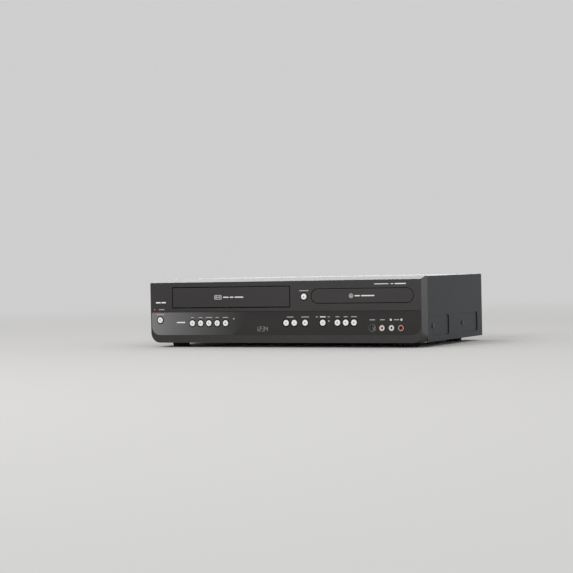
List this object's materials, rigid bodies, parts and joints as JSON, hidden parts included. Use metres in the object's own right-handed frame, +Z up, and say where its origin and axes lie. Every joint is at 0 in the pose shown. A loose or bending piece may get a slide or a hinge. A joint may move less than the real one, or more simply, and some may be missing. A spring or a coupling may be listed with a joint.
{
  "type": "disc and cassette combo player",
  "caption": "Wide black player with a cassette door, a disc tray, a row of round white buttons, a clock window and front sockets, in a steel cover on feet.",
  "frame": {"origin": "on the table under the middle of the box", "axes": "+X to the viewer's right when facing the front, +Y towards the back, +Z up"},
  "size_m": [0.435, 0.245, 0.0995],
  "materials": {
    "bezel_plastic": "moulded ABS, fine matt texture",
    "window_acrylic": "tinted acrylic, polished",
    "cover_paint": "powder-coated steel sheet",
    "zinc_steel": "zinc-plated steel sheet",
    "foot_rubber": "moulded rubber",
    "screw_steel": "black oxide with bright edges",
    "black_plastic": "moulded plastic",
    "nickel": "nickel-plated",
    "red_insulator": "moulded insulator",
    "dark_insulator": "moulded insulator",
    "circuit_board": "solder-masked board",
    "display_glass": "display tube glass",
    "light_pipe": "diffusing light pipe",
    "button_white": "moulded, satin",
    "drum_aluminium": "turned and lapped",
    "turned_steel": "turned",
    "motor_steel": "plated motor can",
    "roller_rubber": "ground rubber",
    "white_nylon": "moulded nylon",
    "drive_plastic": "moulded, glass-filled"
  },
  "bodies": {
    "casing": {"front_bezel": "bezel_plastic", "control_window": "window_acrylic", "top_cover": "cover_paint", "bottom_chassis": "zinc_steel", "standoffs": "zinc_steel", "rear_panel": "zinc_steel", "deck_plate": "zinc_steel", "carriage_frame": "zinc_steel", "feet": "foot_rubber", "cover_screws": "screw_steel", "cord_gland": "black_plastic", "svideo_socket": "black_plastic", "rear_jacks": "black_plastic", "phono_barrels": "nickel", "hdmi_socket": "nickel", "video_jack": "red_insulator", "audio_right_jack": "red_insulator", "audio_left_jack": "dark_insulator", "main_board": "circuit_board", "power_board": "circuit_board", "front_board": "circuit_board", "display_module": "display_glass", "indicator_lights": "light_pipe", "drum_base": "drum_aluminium", "tape_heads": "drum_aluminium", "deck_motors": "motor_steel", "tray_motor": "motor_steel", "drive_frame": "drive_plastic"},
    "cassette_door": {"cassette_door": "bezel_plastic"},
    "basket_slider": {"basket_slider": "zinc_steel"},
    "cassette_basket": {"cassette_basket": "zinc_steel"},
    "upper_drum": {"upper_drum": "drum_aluminium"},
    "capstan": {"capstan": "turned_steel"},
    "pinch_arm": {"pinch_arm": "zinc_steel"},
    "pinch_roller": {"pinch_roller": "roller_rubber"},
    "takeup_reel": {"takeup_reel": "black_plastic"},
    "supply_reel": {"supply_reel": "black_plastic"},
    "takeup_guide": {"takeup_guide": "turned_steel"},
    "supply_guide": {"supply_guide": "turned_steel"},
    "disc_tray": {"disc_tray": "drive_plastic", "tray_front": "bezel_plastic"},
    "tray_gear": {"tray_gear": "white_nylon"},
    "traverse": {"traverse_frame": "drive_plastic"},
    "turntable": {"turntable": "black_plastic"},
    "pickup_sled": {"pickup_sled": "drive_plastic"},
    "clamper": {"clamper": "white_nylon"},
    "button_standby": {"button_standby": "button_white"},
    "button_open_close": {"button_open_close": "button_white"},
    "button_rewind": {"button_rewind": "button_white"},
    "button_fast_forward": {"button_fast_forward": "button_white"},
    "button_stop_eject": {"button_stop_eject": "button_white"},
    "button_vcr_play": {"button_vcr_play": "button_white"},
    "button_vcr_record": {"button_vcr_record": "button_white"},
    "button_channel_down": {"button_channel_down": "button_white"},
    "button_channel_up": {"button_channel_up": "button_white"},
    "button_source": {"button_source": "button_white"},
    "button_dubbing": {"button_dubbing": "button_white"},
    "button_dvd_stop": {"button_dvd_stop": "button_white"},
    "button_dvd_play": {"button_dvd_play": "button_white"},
    "button_dvd_record": {"button_dvd_record": "button_white"}
  },
  "joints": [
    {"name": "cassette_door_swing", "type": "hinge", "parent": "casing", "child": "cassette_door", "pos_m": [-0.0819, -0.1183, 0.0852], "axis": [1, 0, 0], "range_deg": [0, 90], "stiffness_Nm_per_rad": 0.01, "springref_deg": -20.05},
    {"name": "basket_slide", "type": "slide", "parent": "casing", "child": "basket_slider", "axis": [0, 1, 0], "range_m": [0, 0.05]},
    {"name": "basket_drop", "type": "slide", "parent": "basket_slider", "child": "cassette_basket", "axis": [0, 0, -1], "range_m": [0, 0.013]},
    {"name": "drum_spin", "type": "hinge", "parent": "casing", "child": "upper_drum", "pos_m": [-0.0819, 0.0445, 0.0435], "axis": [0, 0.0872, 0.9962], "continuous": true},
    {"name": "capstan_spin", "type": "hinge", "parent": "casing", "child": "capstan", "pos_m": [-0.0219, 0.0215, 0.04], "axis": [0, 0, 1], "continuous": true},
    {"name": "pinch_swing", "type": "hinge", "parent": "casing", "child": "pinch_arm", "pos_m": [-0.0019, 0.0395, 0.045], "axis": [0, 0, 1], "range_deg": [0, 28], "stiffness_Nm_per_rad": 0.05, "springref_deg": -11.46},
    {"name": "pinch_roller_spin", "type": "hinge", "parent": "pinch_arm", "child": "pinch_roller", "pos_m": [-0.01959, 0.03557, 0.05], "axis": [0, 0, 1], "continuous": true},
    {"name": "takeup_reel_spin", "type": "hinge", "parent": "casing", "child": "takeup_reel", "pos_m": [-0.0359, -0.0495, 0.045], "axis": [0, 0, 1], "continuous": true},
    {"name": "supply_reel_spin", "type": "hinge", "parent": "casing", "child": "supply_reel", "pos_m": [-0.1279, -0.0495, 0.045], "axis": [0, 0, 1], "continuous": true},
    {"name": "supply_guide_slide", "type": "slide", "parent": "casing", "child": "supply_guide", "axis": [-0.2425, 0.9701, 0], "range_m": [0, 0.04948]},
    {"name": "takeup_guide_slide", "type": "slide", "parent": "casing", "child": "takeup_guide", "axis": [0.2425, 0.9701, 0], "range_m": [0, 0.04948]},
    {"name": "tray_slide", "type": "slide", "parent": "casing", "child": "disc_tray", "axis": [0, -1, 0], "range_m": [0, 0.138]},
    {"name": "tray_gear_spin", "type": "hinge", "parent": "casing", "child": "tray_gear", "pos_m": [0.0764, -0.0905, 0.06], "axis": [0, 0, 1], "range_deg": [0, 879.04]},
    {"name": "traverse_lift", "type": "slide", "parent": "casing", "child": "traverse", "axis": [0, 0, 1], "range_m": [0, 0.007]},
    {"name": "turntable_spin", "type": "hinge", "parent": "traverse", "child": "turntable", "pos_m": [0.1259, -0.0425, 0.063], "axis": [0, 0, 1], "continuous": true},
    {"name": "sled_slide", "type": "slide", "parent": "traverse", "child": "pickup_sled", "axis": [0, 1, 0], "range_m": [0, 0.034]},
    {"name": "clamper_spin", "type": "hinge", "parent": "casing", "child": "clamper", "pos_m": [0.1259, -0.0425, 0.08], "axis": [0, 0, 1], "continuous": true},
    {"name": "button_standby_press", "type": "slide", "parent": "casing", "child": "button_standby", "axis": [0, 1, 0], "range_m": [0, 0.0006], "stiffness_N_per_m": 400, "springref_m": -0.0006},
    {"name": "button_open_close_press", "type": "slide", "parent": "casing", "child": "button_open_close", "axis": [0, 1, 0], "range_m": [0, 0.0006], "stiffness_N_per_m": 400, "springref_m": -0.0006},
    {"name": "button_rewind_press", "type": "slide", "parent": "casing", "child": "button_rewind", "axis": [0, 1, 0], "range_m": [0, 0.0006], "stiffness_N_per_m": 400, "springref_m": -0.0006},
    {"name": "button_fast_forward_press", "type": "slide", "parent": "casing", "child": "button_fast_forward", "axis": [0, 1, 0], "range_m": [0, 0.0006], "stiffness_N_per_m": 400, "springref_m": -0.0006},
    {"name": "button_stop_eject_press", "type": "slide", "parent": "casing", "child": "button_stop_eject", "axis": [0, 1, 0], "range_m": [0, 0.0006], "stiffness_N_per_m": 400, "springref_m": -0.0006},
    {"name": "button_vcr_play_press", "type": "slide", "parent": "casing", "child": "button_vcr_play", "axis": [0, 1, 0], "range_m": [0, 0.0006], "stiffness_N_per_m": 400, "springref_m": -0.0006},
    {"name": "button_vcr_record_press", "type": "slide", "parent": "casing", "child": "button_vcr_record", "axis": [0, 1, 0], "range_m": [0, 0.0006], "stiffness_N_per_m": 400, "springref_m": -0.0006},
    {"name": "button_channel_down_press", "type": "slide", "parent": "casing", "child": "button_channel_down", "axis": [0, 1, 0], "range_m": [0, 0.0006], "stiffness_N_per_m": 400, "springref_m": -0.0006},
    {"name": "button_channel_up_press", "type": "slide", "parent": "casing", "child": "button_channel_up", "axis": [0, 1, 0], "range_m": [0, 0.0006], "stiffness_N_per_m": 400, "springref_m": -0.0006},
    {"name": "button_source_press", "type": "slide", "parent": "casing", "child": "button_source", "axis": [0, 1, 0], "range_m": [0, 0.0006], "stiffness_N_per_m": 400, "springref_m": -0.0006},
    {"name": "button_dubbing_press", "type": "slide", "parent": "casing", "child": "button_dubbing", "axis": [0, 1, 0], "range_m": [0, 0.0006], "stiffness_N_per_m": 400, "springref_m": -0.0006},
    {"name": "button_dvd_stop_press", "type": "slide", "parent": "casing", "child": "button_dvd_stop", "axis": [0, 1, 0], "range_m": [0, 0.0006], "stiffness_N_per_m": 400, "springref_m": -0.0006},
    {"name": "button_dvd_play_press", "type": "slide", "parent": "casing", "child": "button_dvd_play", "axis": [0, 1, 0], "range_m": [0, 0.0006], "stiffness_N_per_m": 400, "springref_m": -0.0006},
    {"name": "button_dvd_record_press", "type": "slide", "parent": "casing", "child": "button_dvd_record", "axis": [0, 1, 0], "range_m": [0, 0.0006], "stiffness_N_per_m": 400, "springref_m": -0.0006}
  ],
  "couplings": [
    {"joint": "tray_gear_spin", "follows": "tray_slide", "rad_per_m": 111.11},
    {"joint": "takeup_guide_slide", "follows": "supply_guide_slide", "ratio": 1}
  ]
}
